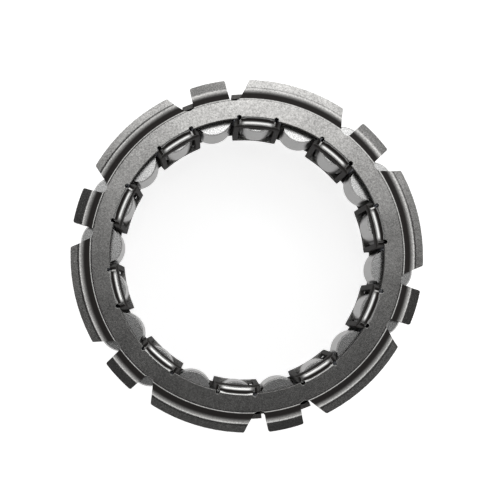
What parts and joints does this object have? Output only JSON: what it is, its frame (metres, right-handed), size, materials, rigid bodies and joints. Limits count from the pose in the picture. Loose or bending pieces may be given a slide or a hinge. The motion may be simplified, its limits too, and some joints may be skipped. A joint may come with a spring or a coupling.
{
  "type": "sprag starter clutch",
  "caption": "Sprag one-way clutch element for a starter drive: a tabbed front cage, an outer cage and a ribbon spring hold a ring of tilting sprags.",
  "frame": {"origin": "on the clutch axis, in the plane of the clinched feet at the back", "axes": "+Z along the clutch axis towards the tabbed front face; +X is 13 degrees clockwise of the middle of the first long tab, seen from the front"},
  "size_m": [0.0704, 0.0704, 0.0179],
  "materials": {
    "cage_steel": "tumbled, phosphated pressed steel, satin",
    "outer_cage_steel": "tumbled pressed steel, satin",
    "spring_steel": "blued spring steel strip",
    "sprag_steel": "hardened and ground steel"
  },
  "bodies": {
    "cage": {"front_cage": "cage_steel", "outer_cage": "outer_cage_steel", "ribbon_spring": "spring_steel"},
    "sprag_01": {"sprag_01": "sprag_steel"},
    "sprag_02": {"sprag_02": "sprag_steel"},
    "sprag_03": {"sprag_03": "sprag_steel"},
    "sprag_04": {"sprag_04": "sprag_steel"},
    "sprag_05": {"sprag_05": "sprag_steel"},
    "sprag_06": {"sprag_06": "sprag_steel"},
    "sprag_07": {"sprag_07": "sprag_steel"},
    "sprag_08": {"sprag_08": "sprag_steel"},
    "sprag_09": {"sprag_09": "sprag_steel"},
    "sprag_10": {"sprag_10": "sprag_steel"},
    "sprag_11": {"sprag_11": "sprag_steel"},
    "sprag_12": {"sprag_12": "sprag_steel"},
    "sprag_13": {"sprag_13": "sprag_steel"},
    "sprag_14": {"sprag_14": "sprag_steel"},
    "sprag_15": {"sprag_15": "sprag_steel"},
    "sprag_16": {"sprag_16": "sprag_steel"},
    "sprag_17": {"sprag_17": "sprag_steel"},
    "sprag_18": {"sprag_18": "sprag_steel"},
    "sprag_19": {"sprag_19": "sprag_steel"},
    "sprag_20": {"sprag_20": "sprag_steel"}
  },
  "joints": [
    {"name": "sprag_01_tilt", "type": "hinge", "parent": "cage", "child": "sprag_01", "pos_m": [0.02502, 0.01498, 0.00865], "axis": [0, 0, 1], "range_deg": [-5, 4]},
    {"name": "sprag_02_tilt", "type": "hinge", "parent": "cage", "child": "sprag_02", "pos_m": [0.01917, 0.02198, 0.00865], "axis": [0, 0, 1], "range_deg": [-5, 4]},
    {"name": "sprag_03_tilt", "type": "hinge", "parent": "cage", "child": "sprag_03", "pos_m": [0.01144, 0.02683, 0.00865], "axis": [0, 0, 1], "range_deg": [-5, 4]},
    {"name": "sprag_04_tilt", "type": "hinge", "parent": "cage", "child": "sprag_04", "pos_m": [0.00259, 0.02905, 0.00865], "axis": [0, 0, 1], "range_deg": [-5, 4]},
    {"name": "sprag_05_tilt", "type": "hinge", "parent": "cage", "child": "sprag_05", "pos_m": [-0.00652, 0.02843, 0.00865], "axis": [0, 0, 1], "range_deg": [-5, 4]},
    {"name": "sprag_06_tilt", "type": "hinge", "parent": "cage", "child": "sprag_06", "pos_m": [-0.01498, 0.02502, 0.00865], "axis": [0, 0, 1], "range_deg": [-5, 4]},
    {"name": "sprag_07_tilt", "type": "hinge", "parent": "cage", "child": "sprag_07", "pos_m": [-0.02198, 0.01917, 0.00865], "axis": [0, 0, 1], "range_deg": [-5, 4]},
    {"name": "sprag_08_tilt", "type": "hinge", "parent": "cage", "child": "sprag_08", "pos_m": [-0.02683, 0.01144, 0.00865], "axis": [0, 0, 1], "range_deg": [-5, 4]},
    {"name": "sprag_09_tilt", "type": "hinge", "parent": "cage", "child": "sprag_09", "pos_m": [-0.02905, 0.00259, 0.00865], "axis": [0, 0, 1], "range_deg": [-5, 4]},
    {"name": "sprag_10_tilt", "type": "hinge", "parent": "cage", "child": "sprag_10", "pos_m": [-0.02843, -0.00652, 0.00865], "axis": [0, 0, 1], "range_deg": [-5, 4]},
    {"name": "sprag_11_tilt", "type": "hinge", "parent": "cage", "child": "sprag_11", "pos_m": [-0.02502, -0.01498, 0.00865], "axis": [0, 0, 1], "range_deg": [-5, 4]},
    {"name": "sprag_12_tilt", "type": "hinge", "parent": "cage", "child": "sprag_12", "pos_m": [-0.01917, -0.02198, 0.00865], "axis": [0, 0, 1], "range_deg": [-5, 4]},
    {"name": "sprag_13_tilt", "type": "hinge", "parent": "cage", "child": "sprag_13", "pos_m": [-0.01144, -0.02683, 0.00865], "axis": [0, 0, 1], "range_deg": [-5, 4]},
    {"name": "sprag_14_tilt", "type": "hinge", "parent": "cage", "child": "sprag_14", "pos_m": [-0.00259, -0.02905, 0.00865], "axis": [0, 0, 1], "range_deg": [-5, 4]},
    {"name": "sprag_15_tilt", "type": "hinge", "parent": "cage", "child": "sprag_15", "pos_m": [0.00652, -0.02843, 0.00865], "axis": [0, 0, 1], "range_deg": [-5, 4]},
    {"name": "sprag_16_tilt", "type": "hinge", "parent": "cage", "child": "sprag_16", "pos_m": [0.01498, -0.02502, 0.00865], "axis": [0, 0, 1], "range_deg": [-5, 4]},
    {"name": "sprag_17_tilt", "type": "hinge", "parent": "cage", "child": "sprag_17", "pos_m": [0.02198, -0.01917, 0.00865], "axis": [0, 0, 1], "range_deg": [-5, 4]},
    {"name": "sprag_18_tilt", "type": "hinge", "parent": "cage", "child": "sprag_18", "pos_m": [0.02683, -0.01144, 0.00865], "axis": [0, 0, 1], "range_deg": [-5, 4]},
    {"name": "sprag_19_tilt", "type": "hinge", "parent": "cage", "child": "sprag_19", "pos_m": [0.02905, -0.00259, 0.00865], "axis": [0, 0, 1], "range_deg": [-5, 4]},
    {"name": "sprag_20_tilt", "type": "hinge", "parent": "cage", "child": "sprag_20", "pos_m": [0.02843, 0.00652, 0.00865], "axis": [0, 0, 1], "range_deg": [-5, 4]}
  ],
  "couplings": [
    {"joint": "sprag_02_tilt", "follows": "sprag_01_tilt", "ratio": 1},
    {"joint": "sprag_03_tilt", "follows": "sprag_01_tilt", "ratio": 1},
    {"joint": "sprag_04_tilt", "follows": "sprag_01_tilt", "ratio": 1},
    {"joint": "sprag_05_tilt", "follows": "sprag_01_tilt", "ratio": 1},
    {"joint": "sprag_06_tilt", "follows": "sprag_01_tilt", "ratio": 1},
    {"joint": "sprag_07_tilt", "follows": "sprag_01_tilt", "ratio": 1},
    {"joint": "sprag_08_tilt", "follows": "sprag_01_tilt", "ratio": 1},
    {"joint": "sprag_09_tilt", "follows": "sprag_01_tilt", "ratio": 1},
    {"joint": "sprag_10_tilt", "follows": "sprag_01_tilt", "ratio": 1},
    {"joint": "sprag_11_tilt", "follows": "sprag_01_tilt", "ratio": 1},
    {"joint": "sprag_12_tilt", "follows": "sprag_01_tilt", "ratio": 1},
    {"joint": "sprag_13_tilt", "follows": "sprag_01_tilt", "ratio": 1},
    {"joint": "sprag_14_tilt", "follows": "sprag_01_tilt", "ratio": 1},
    {"joint": "sprag_15_tilt", "follows": "sprag_01_tilt", "ratio": 1},
    {"joint": "sprag_16_tilt", "follows": "sprag_01_tilt", "ratio": 1},
    {"joint": "sprag_17_tilt", "follows": "sprag_01_tilt", "ratio": 1},
    {"joint": "sprag_18_tilt", "follows": "sprag_01_tilt", "ratio": 1},
    {"joint": "sprag_19_tilt", "follows": "sprag_01_tilt", "ratio": 1},
    {"joint": "sprag_20_tilt", "follows": "sprag_01_tilt", "ratio": 1}
  ]
}
